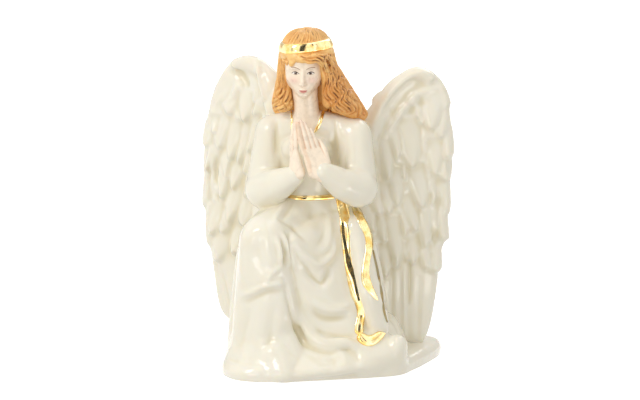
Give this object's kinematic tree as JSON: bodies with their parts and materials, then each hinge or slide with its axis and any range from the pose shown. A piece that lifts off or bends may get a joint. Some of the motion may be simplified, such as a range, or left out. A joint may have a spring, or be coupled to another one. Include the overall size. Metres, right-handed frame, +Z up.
{
  "type": "kneeling angel figurine",
  "caption": "Glazed porcelain figurine of a kneeling, praying angel with large feathered wings, a draped gown and gilded ribbons, on a low flat base.",
  "frame": {"origin": "in the flat underside of the base, below the figure's axis", "axes": "+Z up along the figure, -Y the way the figure faces, +X towards the figure's left hand"},
  "size_m": [0.1276, 0.0998, 0.1697],
  "materials": {
    "ivory_porcelain": "glossy ivory glaze",
    "gilding": "bright gold lustre fired on the glaze",
    "painted_hair": "matte ginger paint, darker in the strands",
    "flesh_tint": "pale satin flesh tint with fine painted features"
  },
  "bodies": {
    "root": {"angel_figurine": "ivory_porcelain"}
  },
  "joints": []
}
